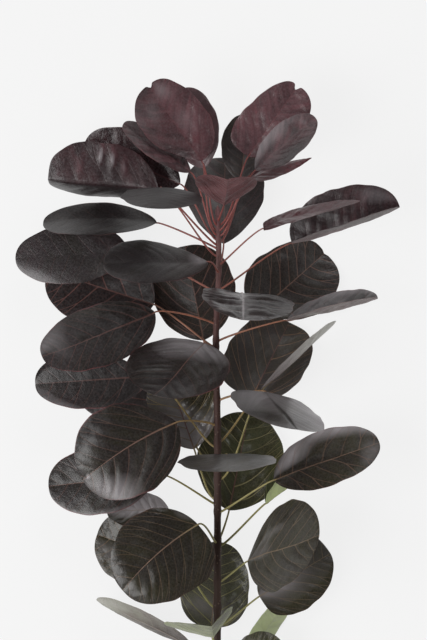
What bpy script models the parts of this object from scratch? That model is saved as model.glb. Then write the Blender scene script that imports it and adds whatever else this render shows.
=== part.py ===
# Cut leafy shoot of a royal purple smoke bush, lying on a table with all its leaves.
# The stem runs along Y from its cut end to its tip, X is across and Z is the height above the table.
# Lengths are millimetres and angles degrees, and everything turns into metres in the meshes.
import math
from collections import namedtuple

import bpy
import numpy as np

MM = 0.001
UP = np.array([0.0, 0.0, 1.0])

# The stem is one gently arched shoot that rises from its cut end, which touches the table.
STEM_LENGTH = 331.0
STEM_CUT_RADIUS = 2.3
STEM_TIP_RADIUS = 1.15
STEM_TAPER_POWER = 1.4
STEM_RISE = 36.0
STEM_ARCH = 1.8
STEM_SIDES = 12
STEM_RINGS = 34

# The terminal bud sits on the stem's tip.
BUD_LENGTH = 7.0
BUD_RADIUS = 1.6
BUD_GAP = 0.6
BUD_PROFILE = ((0.0, 0.75), (0.2, 1.0), (0.5, 0.86), (0.8, 0.42))

# A petiole is round, thickest where it meets the stem, and is fused to its blade.
CLEARANCE = 0.32
PETIOLE_ROOT_RADIUS = 0.95
PETIOLE_RADIUS = 0.65
PETIOLE_RINGS = 6
PETIOLE_LEAN = 0.55
PETIOLE_PULL = 0.55

# A blade is a thin oval sheet on its midrib.
BLADE_THICKNESS = 0.8
MIDRIB_DEPTH = 0.55
BLADE_BASE_TAPER = 1.25
BLADE_TIP_TAPER = 0.85
BLADE_STATIONS = (0.09, 0.2, 0.32, 0.44, 0.56, 0.68, 0.8, 0.92)
RING_ACROSS = np.array([-1.0, -0.5, 0.0, 0.5, 1.0, 0.5, 0.0, -0.5])
RING_SIDE = np.array([0.0, 1.0, 1.0, 1.0, 0.0, -1.0, -1.0, -1.0])

# join is the height on the stem, base and tip are the ends of the blade as (across, along, up).
# roll turns the blade on its midrib and lifts the right side, seen from above and towards the tip.
# fold lifts both halves, bend arches the midrib out of the blade, and sweep bows it sideways.
# widest is the share of its length at which the blade is widest.
Leaf = namedtuple(
    "Leaf", "join base tip width roll fold bend sweep widest", defaults=(0, 6, 0, 0, 0.54)
)

LEAVES = {
    # Young red leaves round the tip
    "leaf_01": Leaf(326, (-10, 366, 50), (-43, 414, 64), 40, -8, 6, -3),
    "leaf_02": Leaf(322.8, (-9, 362, 38), (-22, 415, 42), 36, 12),
    "leaf_03": Leaf(319.6, (-17, 359, 50), (-60, 389, 58), 25, -48),
    "leaf_04": Leaf(306, (-37, 349, 44), (-108, 355, 40), 52, 36, -36),
    "leaf_05": Leaf(316.4, (-25, 353, 26), (-84, 379, 14), 38),
    "leaf_06": Leaf(313.2, (-36, 349, 58), (-36, 335, 112), 51),
    "leaf_07": Leaf(297, (4, 314, 24), (5, 370, 6), 53),
    "leaf_08": Leaf(329, (4, 338, 52), (6, 353, 86), 42, 180, 15),
    "leaf_09": Leaf(326, (20, 369, 38), (51, 413, 42), 38, widest=0.43),
    "leaf_10": Leaf(315, (15, 354, 26), (18, 398, 28), 28),
    "leaf_11": Leaf(322.5, (24, 360, 58), (62, 393, 62), 36, 50),
    "leaf_12": Leaf(319, (22, 354, 46), (60, 369, 50), 26, -78),
    # Large leaves of the upper stem
    "leaf_13": Leaf(285, (48, 314, 46), (115, 337, 54), 50, 47, 49, 0, 3, 0.48),
    "leaf_14": Leaf(302, (29, 323, 66), (90, 340, 70), 26, 82, 6, 1.5),
    "leaf_15": Leaf(310, (-39, 327, 28), (-112, 326, 26), 45, -60),
    "leaf_16": Leaf(283, (-57, 308, 34), (-130, 305, 28), 44, -30),
    "leaf_17": Leaf(296, (-6, 302, 58), (-72, 300, 62), 50, -58, widest=0.6),
    "leaf_18": Leaf(240, (-9, 250, 22), (-21, 313, 4), 54, widest=0.47),
    "leaf_19": Leaf(248, (-41, 275, 22), (-110, 297, 0.5), 57, -10, widest=0.5),
    "leaf_20": Leaf(272, (24, 268, 24), (69, 309, 0.2), 54, widest=0.46),
    "leaf_21": Leaf(276, (16, 282, 46), (16, 265, 104), 59, 6),
    "leaf_22": Leaf(252, (45, 267, 46), (102, 281, 50), 40, 75),
    # Leaves of the middle of the stem
    "leaf_23": Leaf(263, (-40, 270, 46), (-112, 242, 50), 49, 30),
    "leaf_24": Leaf(184, (-44, 229, 36), (-116, 224, 34), 36),
    "leaf_25": Leaf(244, (-8, 250, 46), (-40, 218, 88), 64, -35),
    "leaf_26": Leaf(187, (22, 216, 20), (43, 261, 3), 56, widest=0.45),
    "leaf_27": Leaf(163, (28, 220, 34), (75, 265, 40), 40, 86),
    "leaf_28": Leaf(150, (-15, 182, 23), (-34, 236, 20), 44),
    "leaf_29": Leaf(168, (-38, 212, 9), (-90, 220, 5), 34),
    "leaf_30": Leaf(198, (-26, 200, 50), (-85, 163, 56), 64, 0, 6, 0, 3),
    "leaf_31": Leaf(214, (27, 220, 46), (46, 196, 88), 66, 57),
    "leaf_32": Leaf(176, (6, 179.5, 44), (6, 170.5, 104), 62),
    "leaf_33": Leaf(142, (36, 163, 44), (103, 187, 50), 43, 38, widest=0.5),
    "leaf_34": Leaf(124, (7, 142, 12), (19, 205, 3), 54, widest=0.5),
    # Leaves of the lower stem
    "leaf_35": Leaf(146, (-38, 169, 36), (-109, 157, 26), 44),
    "leaf_36": Leaf(118, (-28, 142, 22), (-71, 143, 12), 27, -35),
    "leaf_37": Leaf(120, (31, 147, 22), (70, 175, 18), 34, 60, 70),
    "leaf_38": Leaf(80, (-25, 108, 16), (-78, 126, 4), 46),
    "leaf_39": Leaf(124, (-12, 135, 50), (-58, 94, 60), 61, 0, 6, 0, 3, 0.46),
    "leaf_40": Leaf(97, (19, 110, 26), (64, 129, 68), 64, 42),
    "leaf_41": Leaf(68, (27, 86, 20), (69, 112, 10), 49),
    "leaf_42": Leaf(50, (-4, 66, 4), (1, 121, 3), 45, widest=0.46),
    "leaf_43": Leaf(52, (-8, 64, 22), (-11, 74, 62), 50, 180, 14),
    "leaf_44": Leaf(44, (-15, 54, 20), (-78, 86, 24), 24, -68),
    "leaf_45": Leaf(34, (15.5, 43, 9), (46, 86, 7), 20, 150),
    "leaf_46": Leaf(30, (10, 42, 22), (43, 55, 26), 32),
}

STEM_COLOUR = (0.075, 0.032, 0.028)
YOUNG_COLOUR = (0.11, 0.036, 0.044)
MATURE_COLOUR = (0.026, 0.02, 0.024)
YOUNG_FROM = 300.0


def unit(vector):
    return vector / np.linalg.norm(vector)


def stem_centre(height):
    """Middle of the stem at this height along it, on a rising arch."""
    left = 1.0 - height / STEM_LENGTH
    return np.array([0.0, height, STEM_CUT_RADIUS + STEM_RISE * (1.0 - left**STEM_ARCH)])


def stem_direction(height):
    left = 1.0 - height / STEM_LENGTH
    slope = STEM_RISE * STEM_ARCH * left ** (STEM_ARCH - 1.0) / STEM_LENGTH
    return unit(np.array([0.0, 1.0, slope]))


def stem_radius(height):
    part = (height / STEM_LENGTH) ** STEM_TAPER_POWER
    return STEM_CUT_RADIUS + (STEM_TIP_RADIUS - STEM_CUT_RADIUS) * part


def ring_on(centre, axis, radius, sides):
    """Round ring of points about a centre, square to an axis that lies near Y."""
    across = unit(np.cross(axis, UP))
    over = np.cross(across, axis)
    turn = np.linspace(math.pi, -math.pi, sides, endpoint=False)[:, None]
    return centre + radius * (np.cos(turn) * across + np.sin(turn) * over)


def blade_axes(leaf):
    """Unit vectors along the blade, to its right side and out of its upper face."""
    along = unit(np.subtract(leaf.tip, leaf.base).astype(float))
    flat_right = unit(np.cross(along, UP))
    flat_out = np.cross(flat_right, along)
    roll = math.radians(leaf.roll)
    right = math.cos(roll) * flat_right + math.sin(roll) * flat_out
    return along, right, np.cross(right, along)


def blade_ring(leaf, station):
    """Closed ring round the blade at one station from 0 at its base to 1 at its tip."""
    along, right, out = blade_axes(leaf)
    length = math.dist(leaf.base, leaf.tip)
    part = (0.5 - 0.5 * math.cos(math.pi * station)) ** (math.log(leaf.widest) / math.log(0.5))
    taper = BLADE_BASE_TAPER + (BLADE_TIP_TAPER - BLADE_BASE_TAPER) * station
    half = 0.5 * leaf.width * math.sin(math.pi * station) ** taper
    bow = 4.0 * part * (1.0 - part)
    rib = np.array(leaf.base) + along * length * part + out * leaf.bend * bow + right * leaf.sweep * bow
    fold = math.radians(leaf.fold)
    across = RING_ACROSS[:, None]
    middle = rib + right * half * math.cos(fold) * across + out * half * math.sin(fold) * abs(across)
    face = out * math.cos(fold) - right * math.sin(fold) * np.sign(across)
    depth = 0.5 * BLADE_THICKNESS * RING_SIDE
    depth[6] -= MIDRIB_DEPTH * (1.0 - part)
    return middle + face * depth[:, None]


def petiole_path(leaf):
    """Points and directions from the stem's skin to the foot of the blade, on one smooth curve."""
    along, right, out = blade_axes(leaf)
    length = math.dist(leaf.base, leaf.tip)
    end = np.array(leaf.base, dtype=float)
    end_direction = unit(along * length + 4.0 * (out * leaf.bend + right * leaf.sweep))
    axis = stem_direction(leaf.join)
    reach = end - stem_centre(leaf.join)
    outward = unit(reach - axis * reach.dot(axis))
    start = stem_centre(leaf.join) + outward * (stem_radius(leaf.join) + CLEARANCE)
    pull = PETIOLE_PULL * np.linalg.norm(end - start)
    lean = unit(outward + PETIOLE_LEAN * axis)
    points = [start]
    directions = [outward]
    for part in np.linspace(0.0, 1.0, PETIOLE_RINGS)[1:]:
        square, cube = part**2, part**3
        points.append(
            start * (2 * cube - 3 * square + 1)
            + lean * pull * (cube - 2 * square + part)
            + end * (3 * square - 2 * cube)
            + end_direction * pull * (cube - square)
        )
        directions.append(
            unit(
                start * (6 * square - 6 * part)
                + lean * pull * (3 * square - 4 * part + 1)
                + end * (6 * part - 6 * square)
                + end_direction * pull * (3 * square - 2 * part)
            )
        )
    return points, directions


def petiole_rings(leaf):
    """Rings from the stem to the blade, kept in step with the blade's own rings."""
    points, directions = petiole_path(leaf)
    right = blade_axes(leaf)[1]
    radii = np.linspace(PETIOLE_ROOT_RADIUS, PETIOLE_RADIUS, PETIOLE_RINGS)
    turn = np.linspace(math.pi, -math.pi, len(RING_ACROSS), endpoint=False)[:, None]
    rings = []
    for point, direction, radius in list(zip(points, directions, radii))[::-1]:
        right = unit(right - direction * right.dot(direction))
        out = np.cross(right, direction)
        rings.append(point + radius * (np.cos(turn) * right + np.sin(turn) * out))
    return rings[::-1]


def loft(name, rings, tip):
    """Closed solid through equal rings, with a flat start and a point at the end."""
    sides = len(rings[0])
    faces = [tuple(reversed(range(sides)))]
    for step in range(len(rings) - 1):
        low, high = step * sides, (step + 1) * sides
        for side in range(sides):
            after = (side + 1) % sides
            faces.append((low + side, low + after, high + after, high + side))
    last = (len(rings) - 1) * sides
    point = len(rings) * sides
    faces += [(last + side, last + (side + 1) % sides, point) for side in range(sides)]
    mesh = bpy.data.meshes.new(name)
    mesh.from_pydata(np.vstack(rings + [tip]), [], faces)
    mesh.update()
    piece = bpy.data.objects.new(name, mesh)
    bpy.context.collection.objects.link(piece)
    return piece


def make_stem():
    """One tapering stem from its flat cut end, closed by its bud."""
    heights = np.linspace(0.0, STEM_LENGTH, STEM_RINGS)
    rings = [ring_on(stem_centre(h), stem_direction(h), stem_radius(h), STEM_SIDES) for h in heights]
    end, axis = stem_centre(STEM_LENGTH), stem_direction(STEM_LENGTH)
    for part, share in BUD_PROFILE:
        rings.append(ring_on(end + axis * (BUD_GAP + BUD_LENGTH * part), axis, BUD_RADIUS * share, STEM_SIDES))
    return loft("stem", rings, end + axis * (BUD_GAP + BUD_LENGTH))


def make_leaf(name, leaf):
    rings = petiole_rings(leaf) + [blade_ring(leaf, station) for station in BLADE_STATIONS]
    return loft(name, rings, np.array(leaf.tip, dtype=float))


def material(name, colour, roughness):
    made = bpy.data.materials.new(name)
    made.use_nodes = True
    shader = made.node_tree.nodes["Principled BSDF"]
    shader.inputs["Base Color"].default_value = (*colour, 1.0)
    shader.inputs["Roughness"].default_value = roughness
    made.diffuse_color = (*colour, 1.0)
    return made


def main():
    for thing in list(bpy.data.objects):
        bpy.data.objects.remove(thing, do_unlink=True)
    bark = material("bark", STEM_COLOUR, 0.62)
    young = material("young_leaf", YOUNG_COLOUR, 0.5)
    mature = material("mature_leaf", MATURE_COLOUR, 0.42)
    stem = make_stem()
    stem.data.materials.append(bark)
    pieces = [stem]
    for name, leaf in LEAVES.items():
        piece = make_leaf(name, leaf)
        piece.data.materials.append(young if leaf.join > YOUNG_FROM else mature)
        pieces.append(piece)
    stand_on_origin(pieces)


def stand_on_origin(pieces):
    """Moves every mesh so that the origin is the middle of the whole shoot's underside, in metres."""
    points = [mesh_points(piece) for piece in pieces]
    low = np.min([p.min(axis=0) for p in points], axis=0)
    high = np.max([p.max(axis=0) for p in points], axis=0)
    origin = np.array([(low[0] + high[0]) / 2, (low[1] + high[1]) / 2, low[2]])
    for piece, place in zip(pieces, points):
        piece.data.vertices.foreach_set("co", ((place - origin) * MM).ravel())
        piece.data.update()
        piece.data.shade_smooth()
        piece.data.set_sharp_from_angle(angle=math.radians(40))


def mesh_points(piece):
    place = np.empty(len(piece.data.vertices) * 3)
    piece.data.vertices.foreach_get("co", place)
    return place.reshape(-1, 3)


main()
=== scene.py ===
# A cut leafy shoot of a purple smoke bush, lying on a pale table and seen from straight above.
# Shapes are worked out in millimetres on the shoot's own axes: across, along from the cut end, and up.
import math
import bpy
import numpy as np
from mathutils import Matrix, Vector


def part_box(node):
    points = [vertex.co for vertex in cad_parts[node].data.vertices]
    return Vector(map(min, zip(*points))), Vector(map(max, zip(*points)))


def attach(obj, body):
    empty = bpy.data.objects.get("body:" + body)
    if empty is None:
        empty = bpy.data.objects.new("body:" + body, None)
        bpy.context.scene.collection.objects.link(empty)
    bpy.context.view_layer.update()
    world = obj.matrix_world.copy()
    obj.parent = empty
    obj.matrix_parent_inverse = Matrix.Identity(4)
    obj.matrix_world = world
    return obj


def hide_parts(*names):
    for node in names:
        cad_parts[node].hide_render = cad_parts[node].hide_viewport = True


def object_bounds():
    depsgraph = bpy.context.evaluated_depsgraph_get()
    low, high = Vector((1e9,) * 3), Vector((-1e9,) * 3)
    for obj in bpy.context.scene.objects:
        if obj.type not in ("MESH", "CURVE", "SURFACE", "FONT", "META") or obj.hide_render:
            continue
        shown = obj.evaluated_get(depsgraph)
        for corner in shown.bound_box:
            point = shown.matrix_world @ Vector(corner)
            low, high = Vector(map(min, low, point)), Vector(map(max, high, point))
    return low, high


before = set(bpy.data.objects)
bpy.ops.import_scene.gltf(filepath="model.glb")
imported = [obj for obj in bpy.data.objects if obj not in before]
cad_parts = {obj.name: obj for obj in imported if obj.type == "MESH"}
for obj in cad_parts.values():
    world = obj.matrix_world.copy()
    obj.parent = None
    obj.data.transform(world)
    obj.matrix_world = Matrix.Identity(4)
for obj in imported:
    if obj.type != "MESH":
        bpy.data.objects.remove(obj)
cadLow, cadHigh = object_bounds()
print("frame loaded:", len(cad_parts), "nodes")

mm = 0.001
upward = np.array([0.0, 0.0, 1.0])


def unit(vectors):
    return vectors / np.linalg.norm(vectors, axis=-1, keepdims=True)


# The stem: a tapering arch that rises from its cut end, swollen a little where each stalk leaves it
stem = {
    "length": 331.0, "cutRadius": 2.3, "tipRadius": 1.4, "taper": 3.0, "rise": 36.0, "arch": 1.8,
    "rings": 520, "sides": 36, "swelling": 0.45, "swellingLength": 2.4, "ridges": 5, "ridgeDepth": 0.05,
    "clearance": 0.32, "bends": [(0.9, 302.0, 24.0), (-1.0, 245.0, 30.0)],
}
bud = {"length": 7.0, "radius": 1.6, "gap": 0.6, "rings": 40, "scales": 3, "scaleDepth": 0.16}


def stemCentre(height):
    left = 1.0 - np.asarray(height) / stem["length"]
    rise = stem["cutRadius"] + stem["rise"] * (1.0 - left ** stem["arch"])
    aside = sum(shift * np.exp(-(((height - place) / reach) ** 2)) for shift, place, reach in stem["bends"])
    return np.stack([aside + 0.0 * left, height + 0.0 * left, rise], axis=-1)


def stemDirection(height):
    left = 1.0 - np.asarray(height) / stem["length"]
    slope = stem["rise"] * stem["arch"] * left ** (stem["arch"] - 1.0) / stem["length"]
    return unit(np.stack([0.0 * left, 0.0 * left + 1.0, slope], axis=-1))


def stemRadius(height):
    part = (np.asarray(height) / stem["length"]) ** stem["taper"]
    return stem["cutRadius"] + (stem["tipRadius"] - stem["cutRadius"]) * part


# The shoot's axes are laid over the frame by the stem's own box
stemLow, stemHigh = (np.array(corner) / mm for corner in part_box("stem"))
shift = np.array([
    stemLow[0] + stem["cutRadius"],
    stemHigh[1] - (stem["length"] + bud["gap"] + bud["length"]),
    stemLow[2] - stem["cutRadius"] * (1.0 - stemDirection(0.0)[1]),
])

# What every leaf shares, in millimetres
blade = {
    "stations": 92, "across": 51, "thickness": 0.46, "baseTaper": 1.25, "tipTaper": 0.85,
    "veinCurve": 0.85, "veinShift": 0.24, "forkFrom": 0.52, "forkSpread": 0.62,
    "folds": 10, "foldLength": 17.0, "foldShrink": 0.8, "uneven": 0.45, "grooveWidth": 1.1, "groove": 0.25,
    "keelWidth": 0.9, "keel": 0.5, "ribRise": 0.2, "ribSunk": -0.25,
}
stalk = {
    "rootRadius": 0.8, "radius": 0.56, "tipRadius": 0.11, "youthful": 0.22, "lean": 0.55, "pull": 0.55,
    "sides": 12, "pathPoints": 30, "ribPoints": 44, "swelling": 0.4, "swellingLength": 1.2, "sunk": 0.28,
}

# One leaf: join is its height on the stem, base and tip are the ends of its blade,
# roll lifts the side on the right when looking to the tip, fold lifts both halves, cup curves them,
# bend arches the blade, sweep bows it sideways, droop lowers its tip, lop widens its right side,
# skew moves that side's widest place to the tip, wave and curl move its margin, notch dents its tip,
# sway is the height of its slow undulation and crumple that of its longest random fold,
# relief is the height of the swellings between veins, veins is the number of pairs, slope how far they lean
# to the tip, show their colour, midrib how far the midrib stands out, flush how much redder it is than the
# blade, rim the margin's colour, gloss the polish, the bloom value how much paler the skin is painted, for
# its waxy bloom and as painted sheen, and below 0 how much darker, as painted shade, and age runs from 0,
# the oldest leaf, to 1.
# A spot is a soft patch, mostly painted light and in a few places the skin's own mottling: how much paler
# it is, as painted sheen and highlight, or, below 0, how much darker, as painted shade, its height, its place
# along and across, and its reach along and across, in shares of the blade's length and of half its width.
leafDefaults = {
    "roll": 0.0, "fold": 6.0, "bend": 0.0, "sweep": 0.0, "widest": 0.54, "cup": 0.0, "droop": 0.0, "lop": 0.0,
    "skew": 0.0, "wave": 0.4, "waves": 2.0, "curl": 0.0, "notch": 0.0, "sway": 0.9, "crumple": 0.09, "relief": 0.2, "veins": 7.0, "slope": 0.62,
    "show": 0.25, "midrib": 0.6, "flush": 0.0, "rim": 0.2, "gloss": 0.0, "bloomSheenShade": 0.0, "spots": [],
    "baseTaper": blade["baseTaper"], "tipTaper": blade["tipTaper"],
}
leaves = {
    1: dict(join=326, base=(-10, 366, 50), tip=(-43.5, 414, 64), width=42, roll=-8, bend=-3, cup=1.5, lop=0,
            skew=-0.1, tipTaper=0.68, notch=3.4, relief=0.07, show=0.08, midrib=0.15, age=0.84, bloomSheenShade=0,
            spots=[(0.2, 0.7, 0.72, -0.45, 0.12, 0.22), (0.35, 0.5, 0.88, 0.3, 0.12, 0.3),
            (-0.3, 0, 0.2, -0.6, 0.3, 0.6), (0.2, 0.3, 0.45, 0.3, 0.15, 0.3),
            (-0.6, -0.8, 0.97, -0.35, 0.05, 0.4), (0.2, 0, 0.75, -1, 0.15, 0.3)], crumple=0.14, sway=0.6),
    2: dict(join=322.8, base=(-9, 362, 38), tip=(-22, 413, 42), width=34, roll=12, fold=3, show=0.2,
            midrib=0.3, gloss=-0.3, age=0.92, bloomSheenShade=0.25, sway=0.5, crumple=0.06),
    3: dict(join=319.6, base=(-17, 359, 50), tip=(-60, 389, 58), width=25, roll=-48, wave=0.2, show=0.05,
            midrib=0.2, rim=0.8, age=0.81),
    4: dict(join=306, base=(-38.2, 348.3, 44), tip=(-108.3, 355, 40), width=50, roll=36, fold=-36, lop=0.1,
            skew=0, widest=0.54, baseTaper=1, tipTaper=0.52, wave=0.8, relief=0.06, veins=8, slope=0.12,
            show=0.02, midrib=0, rim=0.1, gloss=0.1, age=0.76, bloomSheenShade=-0.5,
            spots=[(1.3, 0.7, 0.54, 0.72, 0.024, 0.24), (1.1, 0.5, 0.43, 0.62, 0.026, 0.26),
            (0.7, 0.4, 0.32, 0.5, 0.03, 0.3), (0.6, 0.3, 0.72, 0.5, 0.03, 0.3),
            (0.8, 0.2, 0.92, 0.3, 0.02, 0.15), (-1.4, 0, 0.5, -0.7, 0.6, 0.5),
            (-0.6, 0, 0.95, -0.6, 0.2, 0.6)], crumple=0.08, sway=0.6),
    5: dict(join=316.4, base=(-24, 352.4, 26), tip=(-85.5, 379, 14), width=38, droop=-2, lop=0.08, wave=0.8,
            relief=0.15, show=0, midrib=0.3, gloss=0.5, age=0.76, bloomSheenShade=-0.5,
            spots=[(-0.5, 0, 0.08, 1, 0.2, 0.6)], crumple=0.06, sway=0.5),
    6: dict(join=313.2, base=(-36, 349, 58), tip=(-34.5, 333.8, 112), width=51, roll=7, fold=2, baseTaper=1,
            relief=0.2, show=0, midrib=0, rim=0, gloss=-1, age=0.56, bloomSheenShade=-0.9,
            spots=[(0.6, 0.5, 0.12, 0.5, 0.12, 0.2)], crumple=0.04, sway=0.5),
    7: dict(join=297, base=(4, 314, 24), tip=(5, 370, 6), width=52, widest=0.63, baseTaper=1, show=0.3,
            gloss=-0.6, age=0.5, bloomSheenShade=0.05),
    8: dict(join=329, base=(4, 338, 52), tip=(6, 353, 86), width=42, roll=174, fold=21, relief=1.3, veins=11,
            show=1, midrib=0.5, age=0.92, bloomSheenShade=-0.3),
    9: dict(join=326, base=(19.6, 369.4, 38), tip=(51.5, 414.8, 42), width=39.5, cup=-1, lop=0, skew=0.14,
            widest=0.43, tipTaper=0.7, notch=4.4, relief=0.12, show=0.1, midrib=0.3, age=0.86, bloomSheenShade=0.02,
            crumple=0.13, sway=0.6),
    10: dict(join=315, base=(15, 354, 26), tip=(19.5, 397, 28), width=27, lop=-0.12, gloss=-0.6, age=0.4,
             bloomSheenShade=0.12),
    11: dict(join=322.5, base=(24, 360, 58), tip=(62, 393, 62), width=38.5, roll=50, fold=13, lop=0.19,
             wave=0.3, relief=0.5, veins=8, show=0.1, midrib=0.1, gloss=0.3, age=0.78, bloomSheenShade=-0.1,
             spots=[(0.65, 0.8, 0.35, -0.9, 0.45, 0.5), (-0.9, 0, 0.5, 0.8, 0.4, 0.6),
             (0.3, 0.4, 0.85, -0.2, 0.04, 0.3), (-0.5, -0.3, 0.7, -0.3, 0.04, 0.3),
             (0.3, 0, 0.9, 0.5, 0.1, 0.3)], crumple=0.12),
    12: dict(join=319, base=(20.8, 357, 46), tip=(60, 368, 50), width=19, roll=-66, lop=0.2, widest=0.28,
             baseTaper=0.7, tipTaper=2.1, wave=0.1, relief=0.3, midrib=0, age=1, bloomSheenShade=-0.05,
             spots=[(0.4, 0, 0.85, -0.5, 0.2, 0.4)]),
    13: dict(join=285, base=(47.3, 314.1, 46), tip=(115.8, 336.7, 54), width=54.5, roll=47, fold=51, sweep=3,
             widest=0.48, baseTaper=0.95, wave=0.3, relief=0.32, veins=11, slope=0.2, show=0.1, midrib=0.6,
             gloss=-0.1, age=0.72, bloomSheenShade=-0.15, spots=[(-0.4, 0, 0.1, -0.5, 0.2, 0.8),
             (0.5, 0.3, 0.85, -0.6, 0.2, 0.4), (0.9, 0.2, 0.45, -0.02, 0.2, 0.2), (-1, 0, 0.8, 0.7, 0.4, 0.8),
             (-0.5, 0, 0.3, 0.9, 0.3, 0.4)], crumple=0.16),
    14: dict(join=301, base=(29, 323, 66), tip=(90, 340, 70), width=26, roll=72, bend=1.5, widest=0.28,
             baseTaper=0.5, tipTaper=1.2, wave=0.1, relief=0.35, veins=9, midrib=0, gloss=-0.3, age=1,
             bloomSheenShade=-0.7, crumple=0.1),
    15: dict(join=311, base=(-39, 327.5, 28), tip=(-112, 327, 26), width=37.5, roll=-54, fold=3, bend=3.6,
             cup=2, lop=-0.24, wave=0.15, relief=0.05, show=0.05, midrib=0, rim=0.7, gloss=0.3, age=0.5,
             bloomSheenShade=-0.7, spots=[(0.4, 0, 0.9, -0.2, 0.2, 0.8)], crumple=0.02, sway=0.15),
    16: dict(join=283, base=(-57, 308, 34), tip=(-130, 305, 28), width=39, roll=-8, fold=3, cup=-1.5, droop=2,
             lop=0.05, skew=-0.04, widest=0.5, tipTaper=0.9, wave=0.3, relief=0.03, show=0.08, midrib=0,
             rim=0.4, gloss=0, age=0.52, bloomSheenShade=-0.1, spots=[(0.3, 0, 0.85, -0.9, 0.2, 0.4),
             (0.25, 0, 0.4, 0.9, 0.4, 0.25)], crumple=0.03, sway=0.4),
    17: dict(join=296, base=(-6, 302, 58), tip=(-72, 300, 62), width=53, roll=-58, cup=-2, lop=0.06,
             skew=0.06, widest=0.6, baseTaper=1.05, wave=0.15, relief=0.16, show=0.05, midrib=0, rim=0.5,
             age=0.5, bloomSheenShade=-0.35, spots=[(0.9, 0.6, 0.05, 0.3, 0.16, 0.9)], crumple=0.03, sway=0.4),
    18: dict(join=240, base=(-9, 252, 22), tip=(-21, 313, 4), width=54, lop=0, skew=0, widest=0.53,
             baseTaper=1.15, relief=0.1, show=0.9, age=0.42, bloomSheenShade=-0.3, crumple=0.06),
    19: dict(join=248, base=(-41, 275, 22), tip=(-110, 297, 0.5), width=57, roll=-10, lop=0.04, widest=0.5,
             wave=0.1, show=0.7, age=0.52, bloomSheenShade=-0.8, sway=0.3, crumple=0.05),
    20: dict(join=272, base=(24, 268, 24), tip=(70, 308.7, 0.2), width=53.7, lop=0.02, skew=0.1, widest=0.49,
             baseTaper=1.7, tipTaper=0.55, notch=2.4, wave=0.1, show=0.7, age=0.4, bloomSheenShade=-0.6),
    21: dict(join=276, base=(16, 282, 46), tip=(16, 265, 104), width=59, roll=8, fold=5, lop=-0.1,
             widest=0.36, baseTaper=0.6, relief=1.5, veins=5, slope=-0.3, midrib=0.15, gloss=0.3, age=0.5,
             spots=[(-0.8, 0, 0.85, -1, 0.2, 0.45), (0.4, 0.4, 0.12, 0.15, 0.2, 0.5),
             (-0.8, 0, 0.4, -0.6, 0.15, 0.6), (-0.6, 0, 0.75, 0.4, 0.25, 0.3), (1.3, 0.4, 0.5, 0, 0.7, 0.03)],
             crumple=0.12),
    22: dict(join=252, base=(44, 265, 46), tip=(102, 278.8, 50), width=40, roll=78, fold=25, bend=-1.5,
             baseTaper=1.45, wave=0.2, relief=0.7, midrib=0.1, rim=0.6, age=0.5, bloomSheenShade=0.2,
             spots=[(-0.9, 0, 0.78, -0.2, 0.1, 0.5), (-0.6, 0, 0.85, 0.8, 0.4, 0.5),
             (0.5, 0, 0.7, -1, 0.3, 0.3), (0.8, 0, 0.28, 0.1, 0.06, 0.3)], crumple=0.12),
    23: dict(join=263, base=(-40, 270, 46), tip=(-111, 240.2, 50), width=47, roll=32, droop=3.5, lop=0.05,
             skew=0.04, widest=0.5, wave=0.2, relief=0.45, veins=9, show=0.3, midrib=0.5, rim=0.9, age=0.48,
             bloomSheenShade=-0.55, spots=[(0.8, 0.6, 0.97, 0.7, 0.2, 0.6), (0.6, 0.5, 0.8, -0.2, 0.2, 0.9),
             (0.4, 0, 0.08, 0, 0.1, 0.3), (0.4, 0.3, 0.6, 1, 0.3, 0.4), (-0.4, 0, 0.3, 0, 0.2, 0.8)],
             sway=0.7),
    24: dict(join=184, base=(-44, 229, 33), tip=(-117, 224, 31), width=37, droop=2, skew=0.05, wave=0.2,
             curl=1.5, relief=0.05, midrib=0.4, rim=0.9, gloss=0.2, age=0.46, bloomSheenShade=-0.9,
             spots=[(1, 0.4, 0.95, -0.5, 0.2, 0.8), (1, 0, 0.68, -1, 0.25, 0.4),
             (-0.5, 0, 0.5, 0.4, 0.3, 0.5)], sway=0.3, crumple=0.03),
    25: dict(join=244, base=(-8, 250, 46), tip=(-40, 218, 88), width=66, roll=-35, lop=0, skew=0.02,
             baseTaper=1.05, relief=0.6, veins=9, show=0.15, midrib=0.6, rim=0.7, age=0.44, bloomSheenShade=-0.5,
             spots=[(1.5, 0.8, 0.08, 0, 0.22, 1.6), (0.5, 0, 0.4, 0.5, 0.15, 0.6),
             (-0.4, -1, 0.8, 0, 0.28, 0.8)]),
    26: dict(join=187, base=(21.6, 214, 20), tip=(46.5, 263.5, 3), width=52.7, lop=-0.1, skew=0.12,
             widest=0.48, baseTaper=0.75, tipTaper=0.5, wave=0.15, show=1.1, midrib=0.8, age=0.34, bloomSheenShade=0.12,
             flush=0.3),
    27: dict(join=163, base=(28, 220, 34), tip=(75.7, 264.3, 40), width=40, roll=97, wave=0.1, midrib=0,
             age=0.5, bloomSheenShade=0.4, spots=[(-0.5, 0, 0.1, 0, 0.3, 2), (0.9, 0, 1, 0, 0.35, 2)]),
    28: dict(join=150, base=(-15, 182, 23), tip=(-34, 236, 20), width=46, lop=0.16, relief=0.9, show=1.6,
             midrib=0.7, gloss=0.9, age=0.22, bloomSheenShade=0.3, spots=[(1.1, 1, 0.1, 0, 0.22, 0.9),
             (0.7, 1, 0.35, -0.2, 0.2, 0.5), (-0.6, 0, 0.6, 0.5, 0.3, 0.5)], flush=0.6),
    29: dict(join=168, base=(-38, 212, 9), tip=(-90, 220, 5), width=34, wave=0.2, age=0.5, bloomSheenShade=0.1),
    30: dict(join=198, base=(-26, 200, 50), tip=(-85, 163, 56), width=61.5, roll=4, sweep=3, cup=-0.5,
             droop=8, lop=-0.01, skew=0.03, relief=0.45, veins=7, show=0.3, midrib=1, rim=0.5, gloss=0,
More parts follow.
